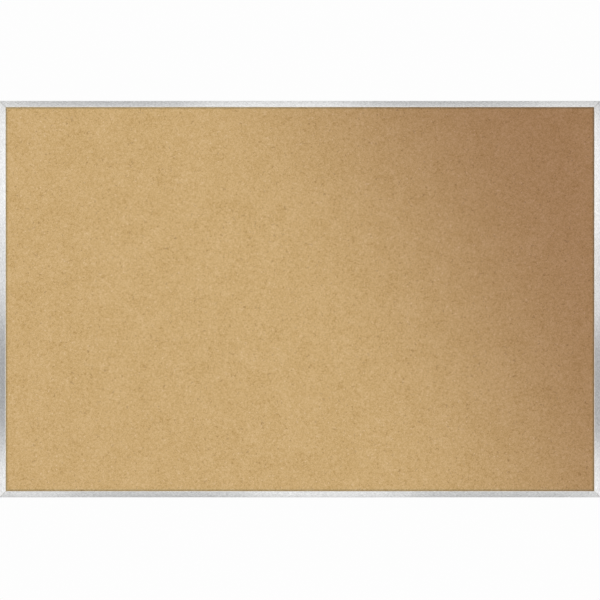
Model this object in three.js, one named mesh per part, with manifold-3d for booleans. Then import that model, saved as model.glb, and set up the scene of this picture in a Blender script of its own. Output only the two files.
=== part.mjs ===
// Cork bulletin board, 36 in wide, in a slim mitred aluminium frame.
//
// Millimetres, +Z up. The reader looks along +Y at the cork, with +X to the right. The origin is the
// centre of the wall plane, so the whole board lies at y <= 0.
//
// Three distances describe every piece: x along a rail, "inset" from the board's outer edge inwards, and
// "depth" from the front face backwards.
//
// A laminated panel (cork, fibreboard, backing paper) sits in the front groove of four extruded rails.
// The rails' rear channel holds an L-shaped key and a backup plate at each corner, clamped by set screws,
// and two hangers that slide along the top rail. Two rubber bumpers keep the bottom off the wall.

import * as THREE from "three";
import { mergeVertices } from "three/addons/utils/BufferGeometryUtils.js";
import Module from "manifold-3d";

const wasm = await Module();
wasm.setup();

// ---------------------------------------------------------------- driving dimensions

const BOARD_WIDTH = 914.4;
const BOARD_HEIGHT = 603.2;

const GLUE_LINE = 0.1; // film between laminated or seated pieces
const SLIDE_GAP = 0.2; // running clearance in the rear channel
const MITRE_GAP = 0.3; // hairline between two rails at a corner

// rail extrusion
const RAIL_FACE = 9.5; // width seen from the front
const RAIL_WALL = 1.2;
const LIP_RETURN = 2.2; // depth of the inner edge that presses on the cork
const EDGE_RADIUS = 0.8; // outer front edge
const EDGE_BEVEL = 0.9; // inner front edge
const CHANNEL_DEPTH = 4;
const SLOT_WIDTH = 4.5;

// laminated panel
const CORK = 1.6;
const FIBREBOARD = 6;
const BACKING = 0.4;
const PANEL_SIDE_GAP = 0.3;

// what holds the board off the wall
const STAND_OFF = 2;

// corner key and backup plate
const KEY_ARM = 36;
const KEY_STEEL = 1.8;
const BACKUP_STEEL = 0.8;
const INSERT_GAP = 0.3; // between the channel's walls and what it holds
const KEY_CHAMFER = 2;
const KEY_SCREW_AT = 26; // from the board's outer corner, along each rail

// M4 set screw with a hexagon socket
const SCREW_RADIUS = 2;
const SCREW_LENGTH = 4;
const SCREW_CHAMFER = 0.4;
const SCREW_HOLE_RADIUS = 2.15;
const SOCKET_ACROSS_FLATS = 2;
const SOCKET_DEPTH = 1.8;

// sliding hanger, folded from one steel strip
const HANGER_AT = 304.8; // from the board's centre
const HANGER_STEEL = 1.5;
const HANGER_WIDTH = 28;
const HANGER_FOOT = 60; // length of the foot inside the channel
const HANGER_DROP = 46; // inset of the plate's lower edge
const HANGER_CORNER = 6;
const HANGER_BEND = 2; // outer radius of the folds
const HANGER_RELIEF = 1.5; // notch between the fold and each ear of the foot
const HANGER_SCREW_AT = 22; // either side of the hanger's middle
const KEYHOLE_HEAD_RADIUS = 5;
const KEYHOLE_HEAD_INSET = 33;
const KEYHOLE_SHANK_RADIUS = 2.6;
const KEYHOLE_SHANK_INSET = 20;

// rubber bumper
const BUMPER_RADIUS = 4.4;
const BUMPER_ROUND = 0.7;
const BUMPER_AT = 400; // from the board's centre, clear of the corner keys

const ROUND_STEPS = 8; // segments in a quarter of a small round
const CIRCLE_STEPS = 32;

// ---------------------------------------------------------------- depths and insets worked out from them

const CORK_FRONT = LIP_RETURN + GLUE_LINE;
const CORE_FRONT = CORK_FRONT + CORK + GLUE_LINE;
const BACKING_FRONT = CORE_FRONT + FIBREBOARD + GLUE_LINE;
const WEB_FRONT = BACKING_FRONT + BACKING + GLUE_LINE;
const CHANNEL_FRONT = WEB_FRONT + RAIL_WALL;
const CHANNEL_BACK = CHANNEL_FRONT + CHANNEL_DEPTH;
const RAIL_DEPTH = CHANNEL_BACK + RAIL_WALL;
const BOARD_DEPTH = RAIL_DEPTH + STAND_OFF;

const CHANNEL_TOP = RAIL_WALL;
const CHANNEL_BOTTOM = RAIL_FACE - RAIL_WALL;
const SLOT_CENTRE = (CHANNEL_TOP + CHANNEL_BOTTOM) / 2;
const SLOT_TOP = SLOT_CENTRE - SLOT_WIDTH / 2;
const SLOT_BOTTOM = SLOT_CENTRE + SLOT_WIDTH / 2;

const CLAMPED_BACK = CHANNEL_BACK - SLIDE_GAP; // rear face of the keys and of the hangers' feet
const BACKUP_FRONT = CHANNEL_FRONT + GLUE_LINE;
const INSERT_TOP = CHANNEL_TOP + INSERT_GAP;
const INSERT_BOTTOM = CHANNEL_BOTTOM - INSERT_GAP;

// The y coordinate of a depth behind the front face.
const yAt = (depth) => depth - BOARD_DEPTH;

// ---------------------------------------------------------------- materials

const metal = (color, roughness) =>
  new THREE.MeshStandardMaterial({ color, roughness, metalness: 0.9 });
const plain = (color, roughness) =>
  new THREE.MeshStandardMaterial({ color, roughness, metalness: 0 });

const ALUMINIUM = metal(0xd9d9d7, 0.35);
const ZINC_STEEL = metal(0xb9bcc0, 0.4);
const BLACK_STEEL = metal(0x2b2b2d, 0.45);
const CORK_NATURAL = plain(0xcbaa77, 0.9);
const BROWN_FIBREBOARD = plain(0x8a6a47, 0.85);
const KRAFT_PAPER = plain(0xa98258, 0.9);
const GREY_RUBBER = plain(0x3a3b3c, 0.8);

// ---------------------------------------------------------------- helpers

function namedMesh(name, geometry, material) {
  const mesh = new THREE.Mesh(geometry, material);
  mesh.name = name;
  return mesh;
}

// A closed geometry as a solid that can be cut or joined.
function solidFrom(geometry) {
  const bare = geometry.clone();
  bare.deleteAttribute("normal");
  bare.deleteAttribute("uv");
  const merged = mergeVertices(bare);
  return new wasm.Manifold(
    new wasm.Mesh({
      numProp: 3,
      vertProperties: merged.attributes.position.array,
      triVerts: new Uint32Array(merged.index.array),
    }),
  );
}

function geometryFrom(solid) {
  const { vertProperties, triVerts } = solid.getMesh();
  return new THREE.BufferGeometry()
    .setAttribute("position", new THREE.BufferAttribute(vertProperties, 3))
    .setIndex(new THREE.BufferAttribute(triVerts, 1));
}

// An upright plate: a shape drawn in x and z, with its rear face at the depth "back".
function plateGeometry(shape, thickness, back) {
  const settings = { depth: thickness, bevelEnabled: false, curveSegments: CIRCLE_STEPS / 2 };
  return new THREE.ExtrudeGeometry(shape, settings).rotateX(Math.PI / 2).translate(0, yAt(back), 0);
}

// A section, drawn as x = inset and y = depth, swept along x to both sides of x = 0. "halfLength" gives
// how far a point of the section reaches, from its inset.
function sweptAlongX(section, halfLength) {
  const settings = { depth: 1, steps: 1, bevelEnabled: false, curveSegments: ROUND_STEPS };
  const geometry = new THREE.ExtrudeGeometry(section, settings);
  const position = geometry.attributes.position;
  for (let i = 0; i < position.count; i++) {
    const inset = position.getX(i);
    const depth = position.getY(i);
    const side = position.getZ(i) > 0.5 ? 1 : -1;
    position.setXYZ(i, side * halfLength(inset), yAt(depth), -inset);
  }
  geometry.computeVertexNormals();
  return geometry;
}

function circularHole(x, z, radius) {
  const hole = new THREE.Path();
  hole.absarc(x, z, radius, 0, 2 * Math.PI, true);
  return hole;
}

// ---------------------------------------------------------------- rails

// The section of the extrusion, drawn as x = inset and y = depth. From the front: the face with its
// return lip, the groove for the panel, the web, and the channel that opens backwards through the slot.
function railSection() {
  const section = new THREE.Shape();
  section.moveTo(0, RAIL_DEPTH);
  section.lineTo(0, EDGE_RADIUS);
  section.absarc(EDGE_RADIUS, EDGE_RADIUS, EDGE_RADIUS, Math.PI, 1.5 * Math.PI, false);
  section.lineTo(RAIL_FACE - EDGE_BEVEL, 0);
  section.lineTo(RAIL_FACE, EDGE_BEVEL);
  section.lineTo(RAIL_FACE, LIP_RETURN);
  section.lineTo(CHANNEL_BOTTOM, LIP_RETURN);
  section.lineTo(CHANNEL_BOTTOM, RAIL_WALL);
  section.lineTo(RAIL_WALL, RAIL_WALL);
  section.lineTo(RAIL_WALL, WEB_FRONT);
  section.lineTo(RAIL_FACE, WEB_FRONT);
  section.lineTo(RAIL_FACE, RAIL_DEPTH);
  section.lineTo(SLOT_BOTTOM, RAIL_DEPTH);
  section.lineTo(SLOT_BOTTOM, CHANNEL_BACK);
  section.lineTo(CHANNEL_BOTTOM, CHANNEL_BACK);
  section.lineTo(CHANNEL_BOTTOM, CHANNEL_FRONT);
  section.lineTo(CHANNEL_TOP, CHANNEL_FRONT);
  section.lineTo(CHANNEL_TOP, CHANNEL_BACK);
  section.lineTo(SLOT_TOP, CHANNEL_BACK);
  section.lineTo(SLOT_TOP, RAIL_DEPTH);
  section.closePath();
  return section;
}

// A rail with its outer edge on the x axis and both ends cut at 45 degrees: each point of the section
// ends as far from the corner as it lies inside the outer edge.
function railGeometry(length) {
  return sweptAlongX(railSection(), (inset) => length / 2 - inset - MITRE_GAP * Math.SQRT1_2);
}

// Each rail is turned about y until its outer edge faces away from the board's centre.
function makeFrame() {
  const frame = new THREE.Group();
  const rails = [
    ["top_rail", BOARD_WIDTH, BOARD_HEIGHT, 0],
    ["right_rail", BOARD_HEIGHT, BOARD_WIDTH, 1],
    ["bottom_rail", BOARD_WIDTH, BOARD_HEIGHT, 2],
    ["left_rail", BOARD_HEIGHT, BOARD_WIDTH, 3],
  ];
  for (const [name, length, across, quarterTurns] of rails) {
    const side = new THREE.Group();
    side.rotation.y = (quarterTurns * Math.PI) / 2;
    const rail = namedMesh(name, railGeometry(length), ALUMINIUM);
    rail.position.z = across / 2;
    side.add(rail);
    frame.add(side);
  }
  return frame;
}

// ---------------------------------------------------------------- laminated panel

function makePanel() {
  const panel = new THREE.Group();
  const width = BOARD_WIDTH - 2 * (RAIL_WALL + PANEL_SIDE_GAP);
  const height = BOARD_HEIGHT - 2 * (RAIL_WALL + PANEL_SIDE_GAP);
  const layers = [
    ["cork_sheet", CORK_FRONT, CORK, CORK_NATURAL],
    ["fibreboard_core", CORE_FRONT, FIBREBOARD, BROWN_FIBREBOARD],
    ["backing_paper", BACKING_FRONT, BACKING, KRAFT_PAPER],
  ];
  for (const [name, front, thickness, material] of layers) {
    const layer = namedMesh(name, new THREE.BoxGeometry(width, thickness, height), material);
    layer.position.y = yAt(front + thickness / 2);
    panel.add(layer);
  }
  return panel;
}

// ---------------------------------------------------------------- set screws

// The screw points forwards along -y. Its socket end is at the origin.
function screwGeometry() {
  const inner = SCREW_RADIUS - SCREW_CHAMFER;
  const profile = [
    [0, -SCREW_LENGTH],
    [inner, -SCREW_LENGTH],
    [SCREW_RADIUS, -SCREW_LENGTH + SCREW_CHAMFER],
    [SCREW_RADIUS, -SCREW_CHAMFER],
    [inner, 0],
    [0, 0],
  ].map(([radius, y]) => new THREE.Vector2(radius, y));
  const body = new THREE.LatheGeometry(profile, CIRCLE_STEPS);
  const socketRadius = SOCKET_ACROSS_FLATS / Math.sqrt(3);
  const socket = new THREE.CylinderGeometry(socketRadius, socketRadius, 2 * SOCKET_DEPTH, 6);
  return geometryFrom(solidFrom(body).subtract(solidFrom(socket)));
}

const SCREW_GEOMETRY = screwGeometry();

// A set screw at x and an inset, with its tip at a depth.
function makeScrew(name, x, inset, tipDepth) {
  const screw = namedMesh(name, SCREW_GEOMETRY, BLACK_STEEL);
  screw.position.set(x, yAt(tipDepth + SCREW_LENGTH), -inset);
  return screw;
}

// ---------------------------------------------------------------- corner keys

// The outline of the key and of its backup plate, drawn for a corner at the origin whose rails run
// along +x and -z.
function keyOutline() {
  const outer = INSERT_TOP;
  const inner = INSERT_BOTTOM;
  const end = outer + KEY_ARM;
  const outline = new THREE.Shape();
  outline.moveTo(outer + KEY_CHAMFER, -outer);
  outline.lineTo(outer, -outer - KEY_CHAMFER);
  outline.lineTo(outer, -end);
  outline.lineTo(inner, -end);
  outline.lineTo(inner, -inner);
  outline.lineTo(end, -inner);
  outline.lineTo(end, -outer);
  outline.closePath();
  return outline;
}

function keyGeometry() {
  const outline = keyOutline();
  outline.holes.push(circularHole(KEY_SCREW_AT, -SLOT_CENTRE, SCREW_HOLE_RADIUS));
  outline.holes.push(circularHole(SLOT_CENTRE, -KEY_SCREW_AT, SCREW_HOLE_RADIUS));
  return plateGeometry(outline, KEY_STEEL, CLAMPED_BACK);
}

function makeCorner(place, x, z, quarterTurns) {
  const corner = new THREE.Group();
  corner.position.set(x, 0, z);
  corner.rotation.y = (quarterTurns * Math.PI) / 2;
  const backup = plateGeometry(keyOutline(), BACKUP_STEEL, BACKUP_FRONT + BACKUP_STEEL);
  const tip = BACKUP_FRONT + BACKUP_STEEL + GLUE_LINE;
  corner.add(
    namedMesh(`corner_key_${place}`, keyGeometry(), ZINC_STEEL),
    namedMesh(`backup_plate_${place}`, backup, ZINC_STEEL),
    makeScrew(`corner_screw_${place}_1`, KEY_SCREW_AT, SLOT_CENTRE, tip),
    makeScrew(`corner_screw_${place}_2`, SLOT_CENTRE, KEY_SCREW_AT, tip),
  );
  return corner;
}

function makeCorners() {
  const corners = new THREE.Group();
  const x = BOARD_WIDTH / 2;
  const z = BOARD_HEIGHT / 2;
  corners.add(makeCorner("top_left", -x, z, 0));
  corners.add(makeCorner("top_right", x, z, 1));
  corners.add(makeCorner("bottom_right", x, -z, 2));
  corners.add(makeCorner("bottom_left", -x, -z, 3));
  return corners;
}

// ---------------------------------------------------------------- sliding hangers

// The folded strip's section: the foot inside the channel, the neck through the slot, and the start of
// the plate behind the rail. Both folds turn about an axis one outer radius from the strip's outer faces.
function hangerFold() {
  const neckTop = SLOT_TOP + SLIDE_GAP;
  const neckBottom = neckTop + HANGER_STEEL;
  const footFront = CLAMPED_BACK - HANGER_STEEL;
  const plateFront = BOARD_DEPTH - HANGER_STEEL;
  const outer = HANGER_BEND;
  const inner = HANGER_BEND - HANGER_STEEL;
  const foldInset = neckTop + outer;
  const fold = new THREE.Shape();
  fold.moveTo(INSERT_BOTTOM, footFront);
  fold.lineTo(INSERT_BOTTOM, CLAMPED_BACK);
  fold.lineTo(foldInset, CLAMPED_BACK);
  fold.absarc(foldInset, CLAMPED_BACK + inner, inner, 1.5 * Math.PI, Math.PI, true);
  fold.lineTo(neckBottom, plateFront - inner);
  fold.absarc(foldInset, plateFront - inner, inner, Math.PI, Math.PI / 2, true);
  fold.lineTo(RAIL_FACE, plateFront);
  fold.lineTo(RAIL_FACE, BOARD_DEPTH);
  fold.lineTo(foldInset, BOARD_DEPTH);
  fold.absarc(foldInset, BOARD_DEPTH - outer, outer, Math.PI / 2, Math.PI, false);
  fold.lineTo(neckTop, footFront + outer);
  fold.absarc(foldInset, footFront + outer, outer, Math.PI, 1.5 * Math.PI, false);
  fold.closePath();
  return fold;
}

// The foot reaches past the fold at both ends. Its two ears fill the channel's height, so that both rear
// lips of the rail hold them.
function footShape() {
  const end = HANGER_FOOT / 2;
  const earStart = HANGER_WIDTH / 2 + HANGER_RELIEF;
  const middleTop = -(SLOT_TOP + SLIDE_GAP + HANGER_BEND);
  const shape = new THREE.Shape();
  shape.moveTo(-end, -INSERT_TOP);
  shape.lineTo(-end, -INSERT_BOTTOM);
  shape.lineTo(end, -INSERT_BOTTOM);
  shape.lineTo(end, -INSERT_TOP);
  shape.lineTo(earStart, -INSERT_TOP);
  shape.lineTo(earStart, middleTop);
  shape.lineTo(-earStart, middleTop);
  shape.lineTo(-earStart, -INSERT_TOP);
  shape.closePath();
  return shape;
}

// The plate behind the board, with rounded lower corners and a keyhole for a wall screw.
function hangerPlateShape() {
  const half = HANGER_WIDTH / 2;
  const r = HANGER_CORNER;
  const shape = new THREE.Shape();
  shape.moveTo(half, -RAIL_FACE + HANGER_STEEL);
  shape.lineTo(-half, -RAIL_FACE + HANGER_STEEL);
  shape.lineTo(-half, -HANGER_DROP + r);
  shape.absarc(-half + r, -HANGER_DROP + r, r, Math.PI, 1.5 * Math.PI, false);
  shape.absarc(half - r, -HANGER_DROP + r, r, 1.5 * Math.PI, 2 * Math.PI, false);
  shape.closePath();
  shape.holes.push(keyhole());
  return shape;
}

// The shank's slot joins the round head hole where their sides cross.
function keyhole() {
  const headZ = -KEYHOLE_HEAD_INSET;
  const shankZ = -KEYHOLE_SHANK_INSET;
  const crossing = Math.acos(KEYHOLE_SHANK_RADIUS / KEYHOLE_HEAD_RADIUS);
  const hole = new THREE.Path();
  hole.moveTo(KEYHOLE_SHANK_RADIUS, shankZ);
  hole.absarc(0, shankZ, KEYHOLE_SHANK_RADIUS, 0, Math.PI, false);
  hole.absarc(0, headZ, KEYHOLE_HEAD_RADIUS, Math.PI - crossing, 2 * Math.PI + crossing, false);
  hole.closePath();
  return hole;
}

function hangerGeometry() {
  const fold = sweptAlongX(hangerFold(), () => HANGER_WIDTH / 2);
  const foot = plateGeometry(footShape(), HANGER_STEEL, CLAMPED_BACK);
  const plate = plateGeometry(hangerPlateShape(), HANGER_STEEL, BOARD_DEPTH);
  let hanger = solidFrom(fold).add(solidFrom(foot)).add(solidFrom(plate));
  for (const x of [-HANGER_SCREW_AT, HANGER_SCREW_AT]) {
    const reach = 2 * HANGER_STEEL;
    const drill = new THREE.CylinderGeometry(SCREW_HOLE_RADIUS, SCREW_HOLE_RADIUS, reach, CIRCLE_STEPS);
    drill.translate(x, yAt(CLAMPED_BACK - HANGER_STEEL / 2), -SLOT_CENTRE);
    hanger = hanger.subtract(solidFrom(drill));
  }
  return geometryFrom(hanger);
}

function makeHanger(place, x) {
  const hanger = new THREE.Group();
  hanger.position.set(x, 0, BOARD_HEIGHT / 2);
  hanger.add(
    namedMesh(`hanger_${place}`, hangerGeometry(), ZINC_STEEL),
    makeScrew(`hanger_screw_${place}_1`, -HANGER_SCREW_AT, SLOT_CENTRE, BACKUP_FRONT),
    makeScrew(`hanger_screw_${place}_2`, HANGER_SCREW_AT, SLOT_CENTRE, BACKUP_FRONT),
  );
  return hanger;
}

// ---------------------------------------------------------------- bumpers

function bumperGeometry() {
  const profile = new THREE.Path();
  profile.moveTo(0, GLUE_LINE - STAND_OFF);
  profile.lineTo(BUMPER_RADIUS, GLUE_LINE - STAND_OFF);
  profile.lineTo(BUMPER_RADIUS, -BUMPER_ROUND);
  profile.absarc(BUMPER_RADIUS - BUMPER_ROUND, -BUMPER_ROUND, BUMPER_ROUND, 0, Math.PI / 2, false);
  profile.lineTo(0, 0);
  return new THREE.LatheGeometry(profile.getPoints(ROUND_STEPS / 2), CIRCLE_STEPS);
}

function makeBumper(place, x) {
  const bumper = namedMesh(`bumper_${place}`, bumperGeometry(), GREY_RUBBER);
  bumper.position.set(x, 0, -BOARD_HEIGHT / 2 + SLOT_CENTRE);
  return bumper;
}

// ---------------------------------------------------------------- the board

const board = new THREE.Group();
board.add(
  makePanel(),
  makeFrame(),
  makeCorners(),
  makeHanger("left", -HANGER_AT),
  makeHanger("right", HANGER_AT),
  makeBumper("left", -BUMPER_AT),
  makeBumper("right", BUMPER_AT),
);

export default board;
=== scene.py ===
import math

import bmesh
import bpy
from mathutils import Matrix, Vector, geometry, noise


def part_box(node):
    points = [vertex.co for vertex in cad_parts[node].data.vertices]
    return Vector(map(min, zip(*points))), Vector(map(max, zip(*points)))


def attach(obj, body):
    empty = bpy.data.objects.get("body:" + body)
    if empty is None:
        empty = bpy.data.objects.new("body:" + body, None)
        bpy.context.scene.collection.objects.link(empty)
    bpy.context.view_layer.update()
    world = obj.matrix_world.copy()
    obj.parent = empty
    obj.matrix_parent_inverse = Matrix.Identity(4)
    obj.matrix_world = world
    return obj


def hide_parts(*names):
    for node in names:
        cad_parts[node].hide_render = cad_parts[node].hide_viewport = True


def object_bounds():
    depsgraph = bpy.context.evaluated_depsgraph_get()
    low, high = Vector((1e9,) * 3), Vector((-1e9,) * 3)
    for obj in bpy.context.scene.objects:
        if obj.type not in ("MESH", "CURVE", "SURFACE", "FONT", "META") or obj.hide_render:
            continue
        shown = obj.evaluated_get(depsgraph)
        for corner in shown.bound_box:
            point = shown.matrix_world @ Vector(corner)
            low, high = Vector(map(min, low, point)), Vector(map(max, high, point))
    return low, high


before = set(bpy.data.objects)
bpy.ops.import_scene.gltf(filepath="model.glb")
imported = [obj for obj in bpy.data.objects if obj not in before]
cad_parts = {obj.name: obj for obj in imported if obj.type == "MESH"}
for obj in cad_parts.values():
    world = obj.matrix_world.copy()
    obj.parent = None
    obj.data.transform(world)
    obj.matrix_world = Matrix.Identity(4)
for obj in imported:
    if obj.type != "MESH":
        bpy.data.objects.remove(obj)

# A wall-hung cork bulletin board in a slim aluminium frame, seen square on from the front.
# Everything is in metres in the frame's own axes: +Z up, +X right, the cork facing -Y, the wall at y = 0.
# Three words recur. "Inset" is the distance from the board's outer edge inwards. "Depth" is the distance
# from the frame's front face backwards. A "quarter turn" carries the top side to the right, and so on.

cad_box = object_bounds()
MM = 0.001

# ------------------------------------------------------------------ gaps that the pieces keep

GLUE_LINE = 0.1 * MM
SLIDE_GAP = 0.2 * MM
MITRE_GAP = 0.3 * MM

# ------------------------------------------------------------------ sizes taken from the frame

low, high = cad_box
BOARD_WIDTH = high.x - low.x
BOARD_HEIGHT = high.z - low.z
BOARD_DEPTH = high.y - low.y
FRONT = low.y
TOP = high.z

rail_low, rail_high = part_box("top_rail")
RAIL_FACE = rail_high.z - rail_low.z
RAIL_DEPTH = rail_high.y - rail_low.y

cork_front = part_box("cork_sheet")[0].y
paper_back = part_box("backing_paper")[1].y
LIP_RETURN = cork_front - FRONT - GLUE_LINE  # depth at which the frame's lip ends
WEB_FRONT = paper_back - FRONT + GLUE_LINE

key_low, key_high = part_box("corner_key_top_left")
CHANNEL_BACK = key_high.y - FRONT + SLIDE_GAP
KEY_OUTER = key_low.x - low.x
KEY_INNER = RAIL_FACE - KEY_OUTER
KEY_END = key_high.x - low.x

screw_low, screw_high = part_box("corner_screw_top_left_1")
SCREW_RADIUS = (screw_high.x - screw_low.x) / 2
SCREW_LENGTH = screw_high.y - screw_low.y
KEY_SCREW_AT = (screw_low.x + screw_high.x) / 2 - low.x

hanger_low, hanger_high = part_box("hanger_left")
clamp_low, clamp_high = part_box("hanger_screw_left_2")
FOOT_HALF = (hanger_high.x - hanger_low.x) / 2
HANGER_DROP = TOP - hanger_low.z
HANGER_SCREW_AT = (clamp_low.x + clamp_high.x - hanger_low.x - hanger_high.x) / 2

# ------------------------------------------------------------------ sizes of the details

RAIL_WALL = 1.2 * MM
SLOT_WIDTH = 4.5 * MM
SLOT_CENTRE = RAIL_FACE / 2
SLOT_TOP = SLOT_CENTRE - SLOT_WIDTH / 2
SLOT_BOTTOM = SLOT_CENTRE + SLOT_WIDTH / 2
CHANNEL_FRONT = WEB_FRONT + RAIL_WALL
OUTER_EDGE_ROUND = 0.8 * MM
INNER_EDGE_BEVEL = 0.9 * MM

SCREW_PITCH = 0.7 * MM
THREAD_DEPTH = 0.36 * MM
SOCKET_FLAT = 1.0 * MM  # from the socket's centre to one of its six sides
SOCKET_DEPTH = 1.8 * MM
CUP_RADIUS = 1.1 * MM
TAPPED_RADIUS = 2.08 * MM  # of the screws' holes

HANGER_STEEL = 1.5 * MM
HANGER_BEND = 2.0 * MM  # outer radius of its folds
FOLD_RADIUS = HANGER_BEND - HANGER_STEEL / 2
FOLD_LENGTH = FOLD_RADIUS * math.pi / 2
PLATE_HALF = 14 * MM
PLATE_CORNER = 6.0 * MM
HANGER_RELIEF = 1.5 * MM  # notch between the plate's fold and each ear of the foot
NECK_TOP = SLOT_TOP + SLIDE_GAP
FOOT_END = KEY_INNER
FOLD_INSET = NECK_TOP + HANGER_BEND
FOOT_FRONT = CHANNEL_BACK - SLIDE_GAP - HANGER_STEEL
KEYHOLE_HEAD_INSET = 33 * MM
KEYHOLE_HEAD_RADIUS = 5.0 * MM
KEYHOLE_SHANK_INSET = 20 * MM
KEYHOLE_SHANK_RADIUS = 2.6 * MM

# The flat strip that becomes a hanger has, from its foot's free edge on: the foot, a fold, the neck, a fold
# and the plate.
FOOT_LENGTH = FOOT_END - FOLD_INSET
NECK_START = FOOT_LENGTH + FOLD_LENGTH
NECK_END = NECK_START + (BOARD_DEPTH - HANGER_BEND) - (FOOT_FRONT + HANGER_BEND)
PLATE_START = NECK_END + FOLD_LENGTH

CIRCLE_STEPS = 32
SCREW_STEPS = 36
MERGE_WITHIN = 0.0001 * MM
SHARP_DEGREES = 35


# ------------------------------------------------------------------ mesh helpers


def shape_from(vertices, faces):
    """A bmesh from lists of vertices and faces, with the vertices that share a place merged."""
    draft = bpy.data.meshes.new("draft")
    draft.from_pydata([tuple(vertex) for vertex in vertices], [], faces)
    shape = bmesh.new()
    shape.from_mesh(draft)
    bpy.data.meshes.remove(draft)
    bmesh.ops.remove_doubles(shape, verts=shape.verts, dist=MERGE_WITHIN)
    return shape


def shape_object(name, shape, sharp_degrees=SHARP_DEGREES):
    """A linked object from a bmesh, smooth except at edges sharper than the given angle."""
    bmesh.ops.recalc_face_normals(shape, faces=shape.faces)
    closed = all(edge.is_manifold for edge in shape.edges)
    if closed and shape.calc_volume(signed=True) < 0:  # a folded shape can come out inside out
        bmesh.ops.reverse_faces(shape, faces=shape.faces)
    mesh = bpy.data.meshes.new(name)
    shape.to_mesh(mesh)
    shape.free()
    mesh.shade_smooth()
    mesh.set_sharp_from_angle(angle=math.radians(sharp_degrees))
    obj = bpy.data.objects.new(name, mesh)
    bpy.context.scene.collection.objects.link(obj)
    return obj


def mesh_object(name, vertices, faces, sharp_degrees=SHARP_DEGREES):
    """A linked object straight from lists of vertices and faces."""
    return shape_object(name, shape_from(vertices, faces), sharp_degrees)


def bands(start, rings, count):
    """The faces that join closed rings of vertices, each ring to the next."""
    faces = []
    for ring in range(rings - 1):
        for i in range(count):
            a = start + ring * count + i
            b = start + ring * count + (i + 1) % count
            faces.append((a, b, b + count, a + count))
    return faces


def rounded(corners, steps=4):
    """A closed outline from (a, b, radius) corners, each turned into an arc of that radius."""
    outline = []
    for i, (a, b, radius) in enumerate(corners):
        corner = Vector((a, b))
        if radius == 0:
            outline.append(corner)
            continue
        before = Vector(corners[i - 1][:2]) - corner
        after = Vector(corners[(i + 1) % len(corners)][:2]) - corner
        before.normalize()
        after.normalize()
        half = before.angle(after) / 2
        centre = corner + (before + after).normalized() * radius / math.sin(half)
        start = corner + before * radius / math.tan(half) - centre
        end = corner + after * radius / math.tan(half) - centre
        turn = math.atan2(start.x * end.y - start.y * end.x, start.dot(end))
        for step in range(steps + 1):
            angle = turn * step / steps
            cos, sin = math.cos(angle), math.sin(angle)
            outline.append(centre + Vector((start.x * cos - start.y * sin, start.x * sin + start.y * cos)))
    return outline


def arc(a, b, radius, start, turn, steps):
    """Points round (a, b), from an angle on through a turn, both ends included."""
    angles = [start + turn * step / steps for step in range(steps + 1)]
    return [Vector((a + radius * math.cos(t), b + radius * math.sin(t))) for t in angles]


def circle(a, b, radius):
    """A closed round outline."""
    return arc(a, b, radius, 0, 2 * math.pi, CIRCLE_STEPS)[:-1]


def signed_area(loop):
    """Twice the area of a closed outline, positive if it runs counter-clockwise."""
    return sum(p.x * q.y - q.x * p.y for p, q in zip(loop, loop[1:] + loop[:1]))


def shrunk(loop, distance):
    """The outline moved to its left by a distance, corner by corner."""
    least = 0.3  # keeps the point of a sharp corner from moving too far
    moved = []
    for i, point in enumerate(loop):
        along_before = (point - loop[i - 1]).normalized()
        along_after = (loop[(i + 1) % len(loop)] - point).normalized()
        left_before = Vector((-along_before.y, along_before.x))
        left_after = Vector((-along_after.y, along_after.x))
        left = (left_before + left_after).normalized()
        moved.append(point + left * distance / max(left.dot(left_before), least))
    return moved


def plate_mesh(outline, holes, thickness, edge):
    """Vertices (a, b, n) and faces of a flat plate from n = 0 to its thickness, with every rim rounded."""
    edge_steps = 3
    loops = [outline if signed_area(outline) > 0 else outline[::-1]]
    loops += [hole if signed_area(hole) < 0 else hole[::-1] for hole in holes]
    profile = []
    for step in range(edge_steps + 1):
        angle = math.pi / 2 * step / edge_steps
        profile.append((edge * (1 - math.sin(angle)), edge * (1 - math.cos(angle))))
    profile += [(inwards, thickness - height) for inwards, height in reversed(profile)]
    vertices, faces, caps = [], [], ([], [])
    for loop in loops:
        count = len(loop)
        start = len(vertices)
        for inwards, height in profile:
            vertices += [(p.x, p.y, height) for p in shrunk(loop, inwards)]
        faces += bands(start, len(profile), count)
        caps[0].append(list(range(start, start + count)))
        caps[1].append(list(range(len(vertices) - count, len(vertices))))
    for rings in caps:
        flat = [index for ring in rings for index in ring]
        loops_3d = [[Vector(vertices[index]) for index in ring] for ring in rings]
        faces += [tuple(flat[i] for i in triangle) for triangle in geometry.tessellate_polygon(loops_3d)]
    return vertices, faces


def lathe(name, profile, count):
    """A solid turned about Y. The profile is (radius, y) from axis to axis."""
    vertices = []
    for radius, y in profile:
        for i in range(count):
            angle = 2 * math.pi * i / count
            vertices.append((radius * math.cos(angle), y, radius * math.sin(angle)))
    return mesh_object(name, vertices, bands(0, len(profile), count))


def finish_piece(piece, body, material, node):
    """Gives a piece its material and ties it to the frame in place of its CAD node."""
    piece.data.materials.append(material)
    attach(piece, body)
    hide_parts(node)


# ------------------------------------------------------------------ material helpers


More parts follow.
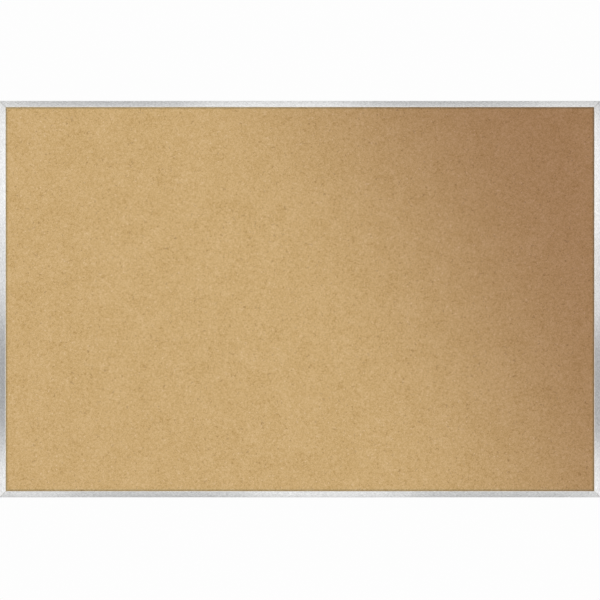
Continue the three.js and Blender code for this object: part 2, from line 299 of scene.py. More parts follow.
class NodeTree:
    """A node tree under construction: nodes are added and linked by short calls."""

    def __init__(self, tree):
        self.nodes = tree.nodes
        self.links = tree.links

    def put(self, socket, value):
        """Links a socket to another node's output, or sets its plain value."""
        if isinstance(value, bpy.types.NodeSocket):
            self.links.new(value, socket)
        else:
            socket.default_value = value

    def node(self, kind, settings=(), **inputs):
        """A new node with its settings, and its sockets fed by name."""
        made = self.nodes.new(kind)
        for key, value in dict(settings).items():
            setattr(made, key, value)
        for key, value in inputs.items():
            self.put(made.inputs[key.replace("_", " ")], value)
        return made

    def place(self, scale=(1, 1, 1), shift=(0, 0, 0)):
        """The piece's own coordinates in metres, scaled along each axis."""
        coordinates = self.node("ShaderNodeTexCoord").outputs["Object"]
        return self.node("ShaderNodeMapping", Vector=coordinates, Scale=scale, Location=shift).outputs[0]

    def noise(self, place, size, detail=2.0, roughness=0.5):
        """Noise from 0 to 1 whose lumps are about "size" metres."""
        sockets = {"Vector": place, "Scale": 1 / size, "Detail": detail, "Roughness": roughness}
        return self.node("ShaderNodeTexNoise", **sockets).outputs["Fac"]

    def cells(self, place, size, feature="F1"):
        """Voronoi cells about "size" metres across."""
        return self.node("ShaderNodeTexVoronoi", {"feature": feature}, Vector=place, Scale=1 / size)

    def random(self, cells):
        """One random number from 0 to 1 for each cell."""
        return self.node("ShaderNodeSeparateColor", Color=cells.outputs["Color"]).outputs["Red"]

    def math(self, operation, a, b=0.0):
        """One step of arithmetic."""
        made = self.node("ShaderNodeMath", {"operation": operation})
        self.put(made.inputs[0], a)
        self.put(made.inputs[1], b)
        return made.outputs[0]

    def centred(self, value):
        """A value from 0 to 1, moved to lie evenly about zero."""
        return self.math("SUBTRACT", value, 0.5)

    def weighted(self, *parts):
        """The sum of (value, weight) parts."""
        shares = [self.math("MULTIPLY", value, weight) for value, weight in parts]
        total = shares[0]
        for share in shares[1:]:
            total = self.math("ADD", total, share)
        return total

    def span(self, value, from_low, from_high, to_low=0.0, to_high=1.0, smooth=False):
        """Carries one range of values over to another, held at its ends."""
        settings = {"interpolation_type": "SMOOTHSTEP" if smooth else "LINEAR"}
        made = self.node("ShaderNodeMapRange", settings)
        for socket, number in zip(made.inputs[:5], (value, from_low, from_high, to_low, to_high)):
            self.put(socket, number)
        return made.outputs[0]

    def ramp(self, value, *stops):
        """A colour ramp from (position, colour) stops."""
        made = self.node("ShaderNodeValToRGB", Fac=value)
        elements = made.color_ramp.elements
        while len(elements) < len(stops):
            elements.new(0.5)
        for element, (position, colour) in zip(elements, stops):
            element.position = position
            element.color = (*colour, 1)
        return made.outputs["Color"]

    def mix(self, amount, a, b, blend="MIX"):
        """A blend of two colours."""
        made = self.node("ShaderNodeMix", {"data_type": "RGBA", "blend_type": blend})
        self.put(made.inputs[0], amount)
        self.put(made.inputs[6], a)
        self.put(made.inputs[7], b)
        return made.outputs[2]


class Shader(NodeTree):
    """A material's nodes around its one Principled BSDF."""

    def __init__(self, name):
        self.material = bpy.data.materials.new(name)
        self.material.use_nodes = True
        super().__init__(self.material.node_tree)
        self.surface = self.nodes["Principled BSDF"]

    def bump(self, height, strength, distance):
        """Gives the surface a fine relief from a height of 0 to 1."""
        made = self.node("ShaderNodeBump", Height=height, Strength=strength, Distance=distance)
        self.put(self.surface.inputs["Normal"], made.outputs[0])

    def finish(self, **inputs):
        """Sets the surface's own sockets and hands over the material."""
        for key, value in inputs.items():
            self.put(self.surface.inputs[key.replace("_", " ")], value)
        return self.material


# ------------------------------------------------------------------ materials


def painted_rim_shade(shader):
    """How much painted shade darkens the cork where the frame's lip stands over it: none but within a few
    millimetres of the frame.
    """
    axes = shader.node("ShaderNodeSeparateXYZ", Vector=shader.place())
    beside = []
    for axis, size in (("X", BOARD_WIDTH), ("Z", BOARD_HEIGHT)):
        from_middle = shader.math("ABSOLUTE", axes.outputs[axis])
        beside.append(shader.math("SUBTRACT", from_middle, size / 2 - RAIL_FACE))
    ragged = shader.centred(shader.noise(shader.place(), 1.5 * MM))
    wander = shader.math("MULTIPLY", ragged, 1.2 * MM)
    from_frame = shader.math("ADD", shader.math("MAXIMUM", *beside), wander)
    return shader.span(from_frame, -3.6 * MM, -1.0 * MM, 0.0, 1.0, smooth=True)


def bent_place(shader, place):
    """Coordinates pushed to and fro, so that the granules' outlines aren't straight."""
    bends_per_metre = 420.0
    reach = 1.6 * MM
    wobble = shader.node("ShaderNodeTexNoise", Vector=place, Scale=bends_per_metre, Detail=2.0)
    swing = shader.node("ShaderNodeVectorMath", {"operation": "SUBTRACT"})
    shader.put(swing.inputs[0], wobble.outputs["Color"])
    shader.put(swing.inputs[1], (0.5, 0.5, 0.5))
    bent = shader.node("ShaderNodeVectorMath", {"operation": "MULTIPLY_ADD"})
    shader.put(bent.inputs[0], swing.outputs[0])
    shader.put(bent.inputs[1], (reach, reach, reach))
    shader.put(bent.inputs[2], place)
    return bent.outputs[0]


def cork_material():
    """Fine cork granules pressed together, with a few dark bits of bark and pale flecks."""
    shader = Shader("cork")
    place = shader.place()
    bent = bent_place(shader, place)
    granule = 2.6 * MM

    coarse = shader.random(shader.cells(bent, granule))
    fine = shader.random(shader.cells(bent, 1.1 * MM))
    clouds = shader.noise(place, 26 * MM, detail=3.0)
    rinds = shader.cells(bent, 5.5 * MM, "DISTANCE_TO_EDGE").outputs["Distance"]
    shade = shader.centred(shader.noise(place, 4.5 * MM, detail=1.0))
    crescents = shader.math("MULTIPLY", shader.span(rinds, 0.03, 0.13, 1.0, 0.0), shade)
    tone = shader.weighted(
        (shader.centred(coarse), 0.14),
        (shader.centred(fine), 0.48),
        (shader.centred(clouds), 0.29),
        (crescents, 0.75),
    )
    colour = shader.ramp(
        shader.math("ADD", tone, 0.5),
        (0.0, (0.414, 0.251, 0.077)),
        (0.5, (0.617, 0.419, 0.176)),
        (1.0, (0.747, 0.544, 0.296)),
    )

    bark = shader.math(
        "MULTIPLY",
        shader.span(rinds, 0.04, 0.12, 1.0, 0.0),
        shader.span(shader.noise(place, 5 * MM, detail=1.0), 0.64, 0.72),
    )
    elsewhere = (0.31, 0.17, 0.23)  # so that the flecks keep clear of the rinds' pattern
    fleck_cells = shader.cells(shader.place(shift=elsewhere), 6.0 * MM)
    fleck = shader.math(
        "MULTIPLY",
        shader.span(fleck_cells.outputs["Distance"], 0.10, 0.22, 1.0, 0.0),
        shader.span(shader.random(fleck_cells), 0.76, 0.82),
    )
    colour = shader.mix(shader.math("MULTIPLY", bark, 0.42), colour, (0.25, 0.14, 0.05, 1))
    colour = shader.mix(shader.math("MULTIPLY", fleck, 0.55), colour, (0.82, 0.63, 0.40, 1))
    # Painted shade: the cork is darkened in a ragged band a few millimetres wide along the frame, where the
    # frame's lip shades it.
    colour = shader.mix(painted_rim_shade(shader), colour, (0.65, 0.70, 0.76, 1), "MULTIPLY")

    seams = shader.cells(bent, granule, "DISTANCE_TO_EDGE").outputs["Distance"]
    pores = shader.math("MULTIPLY", shader.noise(place, 1.2 * MM), 0.5)
    height = shader.math("ADD", shader.span(seams, 0.0, 0.12), pores)
    shader.bump(height, 0.2, 0.12 * MM)
    roughness = shader.span(fine, 0.0, 1.0, 0.82, 0.95)
    return shader.finish(Base_Color=colour, Roughness=roughness, Specular_IOR_Level=0.25)


def stretched(along, share):
    """Mapping scales that draw a pattern out along one axis."""
    return tuple(share if part else 1.0 for part in along)


def aluminium_material(name, along):
    """Satin anodised aluminium, brushed along one axis: (1, 0, 0) or (0, 0, 1)."""
    shader = Shader(name)
    lines = shader.noise(shader.place(stretched(along, 0.01)), 0.25 * MM, detail=3.0, roughness=0.6)
    strokes = shader.noise(shader.place(stretched(along, 0.14)), 0.45 * MM, detail=2.0)
    clouds = shader.noise(shader.place(), 60 * MM, detail=2.0)
    roughness = shader.span(shader.math("ADD", lines, clouds), 0.6, 1.4, 0.26, 0.34)
    tone = shader.weighted((lines, 0.3), (strokes, 0.7))
    colour = shader.ramp(tone, (0.35, (0.58, 0.58, 0.575)), (0.65, (0.99, 0.99, 0.985)))
    shader.bump(lines, 0.06, 0.02 * MM)
    x, y, z = map(float, along)
    direction = shader.node("ShaderNodeCombineXYZ", X=x, Y=y, Z=z)
    shader.put(shader.surface.inputs["Tangent"], direction.outputs[0])
    return shader.finish(
        Base_Color=colour, Roughness=roughness, Metallic=1.0, Anisotropic=0.9, Anisotropic_Rotation=0.25
    )


def zinc_material():
    """Bright zinc plate on stamped steel: faint blue-grey blotches and rolling lines."""
    shader = Shader("zinc_plated_steel")
    place = shader.place()
    blotches = shader.noise(place, 5 * MM, detail=4.0, roughness=0.6)
    lines = shader.noise(shader.place((1.0, 1.0, 0.04)), 0.5 * MM, detail=2.0)
    colour = shader.ramp(
        blotches,
        (0.3, (0.40, 0.43, 0.47)),
        (0.55, (0.56, 0.58, 0.60)),
        (0.8, (0.62, 0.62, 0.58)),
    )
    roughness = shader.span(shader.math("ADD", blotches, lines), 0.7, 1.3, 0.24, 0.46)
    shader.bump(lines, 0.12, 0.03 * MM)
    return shader.finish(Base_Color=colour, Roughness=roughness, Metallic=1.0)


def black_steel_material():
    """Black oxide on a set screw, rubbed to bare steel in places."""
    shader = Shader("black_steel")
    place = shader.place()
    rubbed = shader.span(shader.noise(place, 0.9 * MM, detail=4.0, roughness=0.7), 0.52, 0.72)
    colour = shader.mix(rubbed, (0.025, 0.024, 0.026, 1), (0.17, 0.165, 0.16, 1))
    roughness = shader.span(rubbed, 0.0, 1.0, 0.48, 0.30)
    shader.bump(shader.noise(place, 0.15 * MM), 0.15, 0.02 * MM)
    return shader.finish(Base_Color=colour, Roughness=roughness, Metallic=0.85)


def paper_material():
    """Kraft paper with short fibres lying across it, in small flocks, and a few dark shives."""
    shader = Shader("kraft_paper")
    place = shader.place()
    across = shader.noise(shader.place((0.3, 1.0, 1.0)), 0.5 * MM, detail=4.0, roughness=0.65)
    specks = shader.noise(place, 0.35 * MM, detail=3.0, roughness=0.7)
    flocks = shader.noise(shader.place((0.6, 1.0, 1.0)), 5 * MM, detail=3.0, roughness=0.6)
    clouds = shader.noise(place, 35 * MM, detail=4.0)
    fibres = shader.weighted((across, 0.36), (specks, 0.36))
    formation = shader.weighted((flocks, 0.22), (clouds, 0.06))
    colour = shader.ramp(
        shader.math("ADD", fibres, formation),
        (0.36, (0.31, 0.195, 0.10)),
        (0.5, (0.42, 0.28, 0.16)),
        (0.64, (0.52, 0.37, 0.23)),
    )
    shive_cells = shader.cells(shader.place((0.35, 1.0, 1.0)), 4.0 * MM)
    shives = shader.math(
        "MULTIPLY",
        shader.span(shive_cells.outputs["Distance"], 0.04, 0.11, 1.0, 0.0),
        shader.span(shader.random(shive_cells), 0.78, 0.84),
    )
    colour = shader.mix(shader.math("MULTIPLY", shives, 0.6), colour, (0.16, 0.085, 0.04, 1))
    shader.bump(fibres, 0.25, 0.06 * MM)
    roughness = shader.span(clouds, 0.3, 0.7, 0.80, 0.92)
    return shader.finish(Base_Color=colour, Roughness=roughness, Specular_IOR_Level=0.3)


def fibreboard_material():
    """Pressed brown fibre, with loose strands on its sawn edges."""
    shader = Shader("fibreboard")
    strands = shader.noise(shader.place((0.25, 1.0, 0.25)), 0.5 * MM, detail=4.0, roughness=0.65)
    clouds = shader.noise(shader.place(), 12 * MM, detail=3.0)
    colour = shader.ramp(
        shader.weighted((strands, 0.65), (clouds, 0.35)),
        (0.3, (0.13, 0.07, 0.03)),
        (0.5, (0.26, 0.15, 0.07)),
        (0.7, (0.38, 0.24, 0.125)),
    )
    shader.bump(strands, 0.5, 0.15 * MM)
    return shader.finish(Base_Color=colour, Roughness=shader.span(strands, 0.3, 0.7, 0.85, 0.97))


def rubber_material():
    """Grey-black rubber with a dusty bloom."""
    shader = Shader("rubber")
    place = shader.place()
    bloom = shader.noise(place, 2.5 * MM, detail=5.0, roughness=0.65)
    colour = shader.ramp(bloom, (0.35, (0.022, 0.023, 0.024)), (0.75, (0.075, 0.076, 0.078)))
    shader.bump(shader.noise(place, 0.12 * MM), 0.2, 0.02 * MM)
    return shader.finish(Base_Color=colour, Roughness=shader.span(bloom, 0.3, 0.7, 0.62, 0.88))


# ------------------------------------------------------------------ the laminated panel


def relief(x, z, size, seed):
    """A smooth random height from -1 to 1 with lumps of about the given size."""
    return noise.noise(Vector((x / size, seed, z / size)))


def sheet_piece(name, node, cell, front_relief, back_relief):
    """A thin sheet in the place of a CAD node, with a grid on both faces that its own relief lifts."""
    lowest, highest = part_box(node)
    columns = round((highest.x - lowest.x) / cell)
    rows = round((highest.z - lowest.z) / cell)
    vertices, faces = [], []
    for y, lift in ((lowest.y, front_relief), (highest.y, back_relief)):
        for row in range(rows + 1):
            z = lowest.z + (highest.z - lowest.z) * row / rows
            for column in range(columns + 1):
                x = lowest.x + (highest.x - lowest.x) * column / columns
                vertices.append((x, y + lift(x, z), z))
    width = columns + 1
    back = width * (rows + 1)
    for row in range(rows):
        for column in range(columns):
            a = row * width + column
            faces.append((a, a + 1, a + 1 + width, a + width))
            faces.append((back + a, back + a + width, back + a + 1 + width, back + a + 1))
    rim = list(range(width))
    rim += [row * width + columns for row in range(1, rows + 1)]
    rim += [rows * width + column for column in range(columns - 1, -1, -1)]
    rim += [row * width for row in range(rows - 1, 0, -1)]
    for a, b in zip(rim, rim[1:] + rim[:1]):
        faces.append((a, back + a, back + b, b))
    return mesh_object(name, vertices, faces)


def level(x, z):
    """No relief at all."""
    return 0.0


def cork_relief(x, z):
    """Granules that stand a little proud of each other, on a slow swell."""
    return 0.03 * MM * (relief(x, z, 9 * MM, 3.7) + relief(x, z, 70 * MM, 11.2))


def paper_relief(x, z):
    """The slight cockle of paper that was glued down wet."""
    return 0.04 * MM * (relief(x, z, 120 * MM, 5.1) + 0.5 * relief(x, z, 35 * MM, 8.3))


def make_panel():
    """The cork, the pressed fibre core and the kraft paper, one behind the other."""
    cork = sheet_piece("cork_face", "cork_sheet", 4 * MM, cork_relief, level)
    finish_piece(cork, "board", cork_material(), "cork_sheet")
    core = sheet_piece("pressed_fibre_core", "fibreboard_core", 25 * MM, level, level)
    finish_piece(core, "board", fibreboard_material(), "fibreboard_core")
    paper = sheet_piece("kraft_backing", "backing_paper", 8 * MM, level, paper_relief)
    finish_piece(paper, "board", paper_material(), "backing_paper")


# ------------------------------------------------------------------ the rails


def rail_section():
    """The extrusion's section as (inset, depth), with every corner rounded."""
    inner_wall = RAIL_FACE - RAIL_WALL
    inside = 0.25 * MM
    lip = 0.3 * MM
    edge = 0.4 * MM
    bevel_end = 0.5 * MM
    return rounded(
        [
            (0, RAIL_DEPTH, edge),
            (0, 0, OUTER_EDGE_ROUND),
            (RAIL_FACE - INNER_EDGE_BEVEL, 0, bevel_end),
            (RAIL_FACE, INNER_EDGE_BEVEL, bevel_end),
            (RAIL_FACE, LIP_RETURN, lip),
            (inner_wall, LIP_RETURN, lip),
            (inner_wall, RAIL_WALL, inside),
            (RAIL_WALL, RAIL_WALL, inside),
            (RAIL_WALL, WEB_FRONT, inside),
            (RAIL_FACE, WEB_FRONT, edge),
            (RAIL_FACE, RAIL_DEPTH, edge),
            (SLOT_BOTTOM, RAIL_DEPTH, inside),
            (SLOT_BOTTOM, CHANNEL_BACK, inside),
            (inner_wall, CHANNEL_BACK, inside),
            (inner_wall, CHANNEL_FRONT, inside),
            (RAIL_WALL, CHANNEL_FRONT, inside),
            (RAIL_WALL, CHANNEL_BACK, inside),
            (SLOT_TOP, CHANNEL_BACK, inside),
            (SLOT_TOP, RAIL_DEPTH, inside),
        ]
    )


def side_sizes(quarter_turns):
    """The length of one side of the board, and the board's size across it."""
    if quarter_turns % 2:
        return BOARD_HEIGHT, BOARD_WIDTH
    return BOARD_WIDTH, BOARD_HEIGHT


def quarter_turned(quarter_turns, points):
    """Points on the board's top side, or in its top left corner, carried round to another."""
    turn = Matrix.Rotation(quarter_turns * math.pi / 2, 4, "Y")
    return [turn @ Vector(point) for point in points]


def make_rail(side, quarter_turns, material):
    """One extrusion, swept along its side of the board and cut to a mitre at both ends."""
    length, across = side_sizes(quarter_turns)
    mitre_shift = MITRE_GAP / math.sqrt(2)
    section = rail_section()
    count = len(section)
    points = []
    for end in (-1, 1):
        for inset, depth in section:
            x = end * (length / 2 - inset - mitre_shift)
            points.append((x, FRONT + depth, across / 2 - inset))
    faces = bands(0, 2, count)
    faces += [tuple(range(count)), tuple(range(2 * count - 1, count - 1, -1))]
    piece = mesh_object(f"{side}_extrusion", quarter_turned(quarter_turns, points), faces)
    finish_piece(piece, "board", material, f"{side}_rail")


def make_rails():
    """The frame's four extrusions, each brushed along its length."""
    brushed_level = aluminium_material("aluminium_level", (1, 0, 0))
    brushed_upright = aluminium_material("aluminium_upright", (0, 0, 1))
    for quarter_turns, side in enumerate(("top", "right", "bottom", "left")):
        make_rail(side, quarter_turns, brushed_upright if quarter_turns % 2 else brushed_level)


# ------------------------------------------------------------------ corner hardware


def socket_radius(angle):
    """Distance from a hexagon's centre to its side in a direction."""
    sixth = math.pi / 3
    return SOCKET_FLAT / math.cos((angle + sixth / 2) % sixth - sixth / 2)


def thread_rings():
    """The rings of a set screw's threaded length, which runs out in a chamfer at both ends."""
    steps = 48
    plain_share = 0.04  # of the length, at each end
    chamfer_length = 0.5 * MM
    chamfer_depth = 0.38 * MM
    rings = []
    for step in range(steps + 1):
        y = -SCREW_LENGTH * (plain_share + (1 - 2 * plain_share) * step / steps)
        from_end = min(-y, SCREW_LENGTH + y)
        thread = min(1.0, from_end / chamfer_length)
        rings.append((SCREW_RADIUS - chamfer_depth * (1 - thread), y, thread, 0))
    return rings


def screw_rings():
    """Rings of a set screw from the bottom of its socket to the bottom of its cup point, as (radius, y,
    thread share, hexagon share) with its socket end at y = 0."""
    socket_cone = 0.35 * MM
    mouth_depth = 0.12 * MM
    mouth_width = 0.15 * MM
    end_radius = SCREW_RADIUS - 0.42 * MM
    cup_lip = 0.15 * MM
    cup_depth = 0.6 * MM
    return [
        (0.0, -SOCKET_DEPTH - socket_cone, 0, 0),
        (SOCKET_FLAT, -SOCKET_DEPTH, 0, 1),
        (SOCKET_FLAT, -mouth_depth, 0, 1),
        (SOCKET_FLAT + mouth_width, 0.0, 0, 0.7),
        (end_radius, 0.0, 0, 0),
        *thread_rings(),
        (CUP_RADIUS + cup_lip, -SCREW_LENGTH, 0, 0),
        (CUP_RADIUS, -SCREW_LENGTH, 0, 0),
        (0.0, -SCREW_LENGTH + cup_depth, 0, 0),
    ]


def make_screw(node, body, material):
    """A threaded M4 set screw in the place of a CAD screw."""
    lowest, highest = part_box(node)
    centre = Vector(((lowest.x + highest.x) / 2, highest.y, (lowest.z + highest.z) / 2))
    flank_slope = 1.25  # over 1, so that the thread has a narrow flat root
    vertices = []
    rings = screw_rings()
    for radius, y, thread, hexagon in rings:
        for i in range(SCREW_STEPS):
            angle = 2 * math.pi * i / SCREW_STEPS
            phase = (y / SCREW_PITCH + i / SCREW_STEPS) % 1
            groove = thread * THREAD_DEPTH * min(1.0, flank_slope * abs(2 * phase - 1))
            reach = radius * (1 - hexagon) + socket_radius(angle) * hexagon - groove
            reach = 0.0 if radius == 0 else reach
            vertices.append(centre + Vector((reach * math.cos(angle), y, reach * math.sin(angle))))
    faces = bands(0, len(rings), SCREW_STEPS)
    piece = mesh_object(f"threaded_{node}", vertices, faces, sharp_degrees=30)
    finish_piece(piece, body, material, node)


def key_outline():
    """The L of a corner key as (x, z) from the board's corner, for the top left corner."""
    outer_corner = 2.0 * MM
    inner_corner = 0.5 * MM
    arm_end = 0.6 * MM
    return rounded(
        [
            (KEY_OUTER, -KEY_OUTER, outer_corner),
            (KEY_OUTER, -KEY_END, arm_end),
            (KEY_INNER, -KEY_END, arm_end),
            (KEY_INNER, -KEY_INNER, inner_corner),
            (KEY_END, -KEY_INNER, arm_end),
            (KEY_END, -KEY_OUTER, arm_end),
        ]
    )


def make_corner_plate(node, quarter_turns, zinc, holes, edge):
    """A stamped L plate in the place of a CAD node in one corner of the board."""
    lowest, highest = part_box(node)
    length, across = side_sizes(quarter_turns)
    flat, faces = plate_mesh(key_outline(), holes, highest.y - lowest.y, edge)
    points = [(a - length / 2, lowest.y + n, b + across / 2) for a, b, n in flat]
    piece = mesh_object(f"stamped_{node}", quarter_turned(quarter_turns, points), faces)
    finish_piece(piece, "board", zinc, node)


def make_corners(zinc, black):
    """In each corner a key with its two set screws, and a backup plate in front of it."""
    key_holes = [
        circle(KEY_SCREW_AT, -SLOT_CENTRE, TAPPED_RADIUS),
        circle(SLOT_CENTRE, -KEY_SCREW_AT, TAPPED_RADIUS),
    ]
    for quarter_turns, place in enumerate(("top_left", "top_right", "bottom_right", "bottom_left")):
        make_corner_plate(f"corner_key_{place}", quarter_turns, zinc, key_holes, edge=0.25 * MM)
        make_corner_plate(f"backup_plate_{place}", quarter_turns, zinc, holes=[], edge=0.12 * MM)
        for number in (1, 2):
            make_screw(f"corner_screw_{place}_{number}", "board", black)


# ------------------------------------------------------------------ sliding hangers


def folded(x, s, n):
    """A point of the flat strip, at x, s along it and n below its outer face, as (x, depth, inset). The ears
    of the foot, which reach past the plate's sides, stay flat."""
    radius = HANGER_BEND - n
    if s <= FOOT_LENGTH or abs(x) > PLATE_HALF + HANGER_RELIEF / 2:
        return x, FOOT_FRONT + n, FOOT_END - s
    if s <= NECK_START:
        angle = (s - FOOT_LENGTH) / FOLD_RADIUS
        depth = FOOT_FRONT + HANGER_BEND - radius * math.cos(angle)
        return x, depth, FOLD_INSET - radius * math.sin(angle)
    if s <= NECK_END:
        return x, FOOT_FRONT + HANGER_BEND + s - NECK_START, NECK_TOP + n
    if s <= PLATE_START:
        angle = (s - NECK_END) / FOLD_RADIUS
        depth = BOARD_DEPTH - HANGER_BEND + radius * math.sin(angle)
        return x, depth, FOLD_INSET - radius * math.cos(angle)
    return x, BOARD_DEPTH - n, FOLD_INSET + s - PLATE_START


def strip_outline():
    """The hanger's blank as (x, s): the foot with an ear at each end, the relief notches, the plate."""
    ear_top = FOOT_END - KEY_OUTER
    plate_end = PLATE_START + HANGER_DROP - FOLD_INSET
    notch = PLATE_HALF + HANGER_RELIEF
    ear_corner = 1.0 * MM
    ear_step = 0.5 * MM
    notch_corner = 0.6 * MM
    right = [
        (FOOT_HALF, 0, ear_corner),
        (FOOT_HALF, ear_top, ear_corner),
        (notch, ear_top, ear_step),
        (notch, FOOT_LENGTH, notch_corner),
        (PLATE_HALF, FOOT_LENGTH, notch_corner),
        (PLATE_HALF, plate_end, PLATE_CORNER),
    ]
    left = [(-x, s, radius) for x, s, radius in reversed(right)]
    return rounded(right + left, steps=6)


def keyhole_outline():
    """The keyhole as (x, s): a round head hole with a slot for the screw's shank above it."""
    head = PLATE_START + KEYHOLE_HEAD_INSET - FOLD_INSET
    shank = PLATE_START + KEYHOLE_SHANK_INSET - FOLD_INSET
    crossing = math.acos(KEYHOLE_SHANK_RADIUS / KEYHOLE_HEAD_RADIUS)
    outline = arc(0, shank, KEYHOLE_SHANK_RADIUS, math.pi, math.pi, CIRCLE_STEPS // 2)
    outline += arc(0, head, KEYHOLE_HEAD_RADIUS, -crossing, math.pi + 2 * crossing, CIRCLE_STEPS)
    return outline


def cut_across(strip):
    """Cuts the flat strip across at even steps in its two folds, so that they come out round."""
    steps = 8
    for start in (FOOT_LENGTH, NECK_END):
        for step in range(steps + 1):
            s = start + FOLD_LENGTH * step / steps
            everything = strip.verts[:] + strip.edges[:] + strip.faces[:]
            bmesh.ops.bisect_plane(
                strip, geom=everything, dist=MERGE_WITHIN, plane_co=(0, s, 0), plane_no=(0, 1, 0)
            )


def make_hanger(side, zinc, black):
    """One strip of steel, cut flat and then folded twice, with its two clamping screws."""
    node = f"hanger_{side}"
    lowest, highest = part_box(node)
    middle = (lowest.x + highest.x) / 2
    holes = [circle(x, FOOT_END - SLOT_CENTRE, TAPPED_RADIUS) for x in (-HANGER_SCREW_AT, HANGER_SCREW_AT)]
    holes.append(keyhole_outline())
    vertices, faces = plate_mesh(strip_outline(), holes, HANGER_STEEL, edge=0.22 * MM)
    strip = shape_from(vertices, faces)
    cut_across(strip)
    for corner in strip.verts:
        x, depth, inset = folded(*corner.co)
        corner.co = (middle + x, FRONT + depth, TOP - inset)
    piece = shape_object(f"folded_{node}", strip)
    finish_piece(piece, node, zinc, node)
    for number in (1, 2):
        make_screw(f"hanger_screw_{side}_{number}", node, black)


# ------------------------------------------------------------------ bumpers


def make_bumper(side, material):
    """A moulded rubber disc with a rolled edge, a shallow dish and the pip of its mould."""
    node = f"bumper_{side}"
    lowest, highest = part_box(node)
    radius = (highest.x - lowest.x) / 2
    thickness = highest.y - lowest.y
    base = 0.2 * MM  # bevel of the glued edge
    rolled = 0.7 * MM
    rolled_steps = 8
    dish_rim = radius - 1.4 * MM
    dish_floor = radius - 1.9 * MM
    dish_depth = 0.22 * MM
    pip_foot = 0.5 * MM
    pip_head = 0.35 * MM
    pip_below = 0.08 * MM  # its shoulder, below the rim of the dish
    tip_below = 0.05 * MM
    profile = [(0, 0), (radius - base, 0), (radius, base)]
    for step in range(rolled_steps + 1):
        angle = math.pi / 2 * step / rolled_steps
        inwards, down = rolled * (1 - math.cos(angle)), rolled * (1 - math.sin(angle))
        profile.append((radius - inwards, thickness - down))
    profile += [
        (dish_rim, thickness),
        (dish_floor, thickness - dish_depth),
        (pip_foot, thickness - dish_depth),
        (pip_head, thickness - pip_below),
        (0, thickness - tip_below),
    ]
    piece = lathe(f"moulded_{node}", profile, count=48)
    piece.location = ((lowest.x + highest.x) / 2, lowest.y, (lowest.z + highest.z) / 2)
    finish_piece(piece, "board", material, node)


# ------------------------------------------------------------------ the stage

CAMERA_DISTANCE = 4.5
CAMERA_DROP = 1.3 * MM  # below the middle of the board
FILL_OF_FRAME = 1.0018  # the board is a hair wider than the picture

FLOOR_DROP = 1.5
FLOOR_SIDE = 20.0
FLOOR_FRONT = -25.0
FLOOR_BACK = 9.5
FLOOR_GLOW = 0.13

# How bright the surroundings are, for each kind of ray and in each direction.
BACKDROP = 0.985  # behind the board, as the camera sees it
BACKDROP_SIDES = 0.55  # everywhere else, as the camera sees it
ROOM_LIGHT = (0.56, 0.455, 0.50)  # what lights matt surfaces
ROOM_FRONT = 0.345  # what metal reflects from straight in front of the board
ROOM_RING = 1.3  # from the ring round that
ROOM_SIDES = 0.6  # from beside and behind

SPOT_PLACE = Vector((-1.5, -15.0, -0.8))
SPOT_ENERGY = 4432
SPOT_COLOUR = (0.82, 1.0, 0.98)
FALL_DIRECTION = Vector((0.877, 0, 0.481))  # the way the spot's light falls off across the board
FALL_START = -0.03  # where the fall begins, from the board's centre along that direction
FALL_WIDTH = 0.48
SPOT_CENTRE = -5.0  # where the spot is aimed, from FALL_START: far off, so that its edge is nearly straight

STRIP_LIGHT_AWAY = 0.6  # in front of the board
STRIP_LIGHT_LENGTH = 3.0
LEVEL_BEHIND_UPRIGHT = 20 * MM
UPRIGHT_STAGGER = 0.04
UPRIGHT_LIGHTS = (  # x of the reflection on the board, width, glow
    (-0.452, 0.12, 0.27),
    (0.0, 0.29, 0.31),
    (0.45, 0.12, 0.27),
)
LEVEL_LIGHTS = (  # z of the reflection on the board, height, glow, slant in degrees
    (0.48, 0.2, 0.28, 0),
    (0.208, 0.232, 0.72, 1.15),
    (0.056, 0.214, 0.49, 1.15),
    (-0.323, 0.216, 0.72, 0),
)
BACK_LIGHTS = (  # name, place, size, energy
    ("top", (0, 0.6, 2.6), 2.0, 35),
    ("back", (1.2, 3.0, 1.6), 2.0, 60),
)


def make_camera():
    """A camera straight in front of the board, from far enough off to see it nearly without perspective."""
    data = bpy.data.cameras.new("camera")
    camera = bpy.data.objects.new("camera", data)
    bpy.context.scene.collection.objects.link(camera)
    camera.location = (0, FRONT - CAMERA_DISTANCE, -CAMERA_DROP)
    camera.rotation_euler = (math.pi / 2, 0, 0)
    data.sensor_width = 36
    data.lens = data.sensor_width * CAMERA_DISTANCE / (BOARD_WIDTH / FILL_OF_FRAME)
    bpy.context.scene.camera = camera


def make_floor():
    """A pale floor well below the board, with a slight glow of its own. It sends no light to the board."""
    shader = Shader("floor")
    shade = shader.noise(shader.place(), 0.6, detail=2.0)
    colour = shader.ramp(shade, (0.3, (0.79, 0.91, 0.85)), (0.7, (0.81, 0.93, 0.87)))
    material = shader.finish(
        Base_Color=colour, Roughness=0.7, Emission_Color=(1, 1, 1, 1), Emission_Strength=FLOOR_GLOW
    )
    corners = [
        (-FLOOR_SIDE, FLOOR_FRONT),
        (FLOOR_SIDE, FLOOR_FRONT),
        (FLOOR_SIDE, FLOOR_BACK),
        (-FLOOR_SIDE, FLOOR_BACK),
    ]
    floor = mesh_object("floor", [(x, y, -FLOOR_DROP) for x, y in corners], [(0, 1, 2, 3)])
    floor.data.materials.append(material)
    floor.visible_glossy = False
    floor.visible_diffuse = False
    return floor


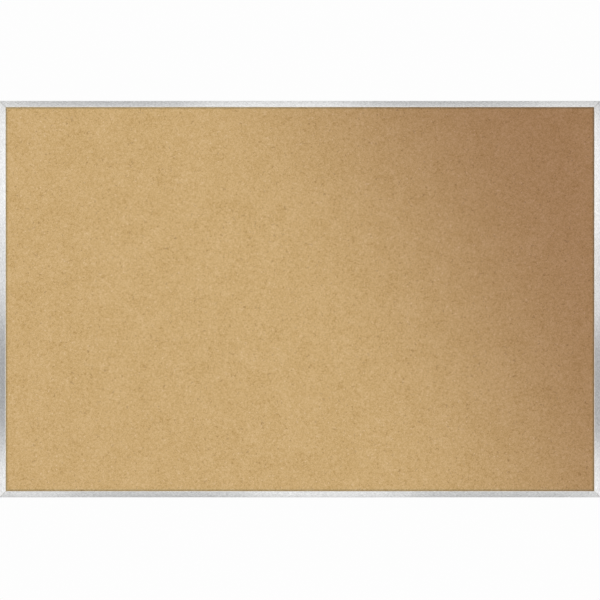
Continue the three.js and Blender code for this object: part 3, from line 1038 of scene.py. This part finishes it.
def make_world():
    """A white backdrop behind the board, soft light from all round, and a ring of light for the metal."""
    world = bpy.data.worlds.new("room")
    bpy.context.scene.world = world
    world.use_nodes = True
    room = NodeTree(world.node_tree)
    room.nodes.clear()
    direction = room.node("ShaderNodeTexCoord").outputs["Generated"]
    towards_wall = room.node("ShaderNodeSeparateXYZ", Vector=direction).outputs["Y"]
    rays = room.node("ShaderNodeLightPath").outputs
    ring = room.span(towards_wall, -0.3, 0.05, ROOM_RING, ROOM_SIDES, smooth=True)
    for_metal = room.span(towards_wall, -0.8, -0.35, ROOM_FRONT, ring, smooth=True)
    backdrop = room.span(towards_wall, 0.5, 0.95, BACKDROP_SIDES, BACKDROP, smooth=True)
    lit = room.mix(rays["Is Glossy Ray"], (*ROOM_LIGHT, 1), for_metal)
    seen = room.mix(rays["Is Camera Ray"], lit, backdrop)
    background = room.node("ShaderNodeBackground", Color=seen)
    room.node("ShaderNodeOutputWorld", Surface=background.outputs[0])
    world.cycles.sampling_method = "NONE"


def add_light(name, kind, place, target, energy, colour=(1, 1, 1)):
    """A light at a place, turned towards a target, that the camera doesn't see."""
    data = bpy.data.lights.new(name, kind)
    data.energy = energy
    data.color = colour
    light = bpy.data.objects.new(name, data)
    bpy.context.scene.collection.objects.link(light)
    light.location = place
    light.rotation_euler = (Vector(target) - Vector(place)).to_track_quat("-Z", "Y").to_euler()
    light.visible_camera = False
    return light


def make_spot(floor):
    """A distant spot from the lower left whose soft edge falls across the board's upper right."""
    aimed_at = FALL_DIRECTION * (FALL_START + SPOT_CENTRE)
    light = add_light("spot", "SPOT", SPOT_PLACE, aimed_at, SPOT_ENERGY, SPOT_COLOUR)
    axis = aimed_at - SPOT_PLACE
    # Its light is whole up to the first of these angles from its axis, and gone beyond the second.
    full = axis.angle(FALL_DIRECTION * FALL_START - SPOT_PLACE)
    none = axis.angle(FALL_DIRECTION * (FALL_START + FALL_WIDTH) - SPOT_PLACE)
    light.data.spot_size = 2 * none
    light.data.spot_blend = (math.cos(full) - math.cos(none)) / (1 - math.cos(none))
    light.data.shadow_soft_size = 0.1
    light.visible_glossy = False
    # The floor passes close to the spot, and would be far too bright there.
    passed_over = bpy.data.collections.new("not_lit_by_spot")
    passed_over.objects.link(floor)
    passed_over.collection_objects[0].light_linking.link_state = "EXCLUDE"
    light.light_linking.receiver_collection = passed_over


def add_strip_light(name, place, width, height, glow):
    """A strip light that faces the board, equally bright for any size, and lights glossy surfaces only."""
    light = add_light(name, "AREA", place, place, glow * width * height * math.pi)
    light.rotation_euler = (math.pi / 2, 0, 0)
    light.data.shape = "RECTANGLE"
    light.data.size = width
    light.data.size_y = height
    light.visible_diffuse = False
    return light


def make_strip_lights():
    """Strip lights in front of the board, upright and level, that only the metal sees. Each upright one is
    two halves end to end, the lower half a little further to the right."""
    grow = 1 + STRIP_LIGHT_AWAY / CAMERA_DISTANCE
    half = STRIP_LIGHT_LENGTH / 2
    for number, (x, width, glow) in enumerate(UPRIGHT_LIGHTS):
        for row in (-1, 1):
            place = ((x - row * UPRIGHT_STAGGER) * grow, FRONT - STRIP_LIGHT_AWAY, row * half / 2)
            add_strip_light(f"upright_{number}_{row}", place, width, half, glow)
    for number, (z, height, glow, slant) in enumerate(LEVEL_LIGHTS):
        place = (0, FRONT - STRIP_LIGHT_AWAY - LEVEL_BEHIND_UPRIGHT, z * grow)
        light = add_strip_light(f"level_{number}", place, STRIP_LIGHT_LENGTH, height, glow)
        light.rotation_euler.y = math.radians(slant)


def make_back_lights():
    """Soft lights for the top and the back, which the metal doesn't reflect."""
    for name, place, size, energy in BACK_LIGHTS:
        light = add_light(name, "AREA", place, (0, 0, 0), energy)
        light.data.size = size
        light.visible_glossy = False


# ------------------------------------------------------------------ everything

make_camera()
floor = make_floor()
make_world()
make_spot(floor)
make_strip_lights()
make_back_lights()

make_panel()
make_rails()
zinc = zinc_material()
black = black_steel_material()
rubber = rubber_material()
make_corners(zinc, black)
for side in ("left", "right"):
    make_hanger(side, zinc, black)
    make_bumper(side, rubber)

bpy.context.scene.view_settings.view_transform = "Standard"
bpy.context.scene.view_settings.look = "None"
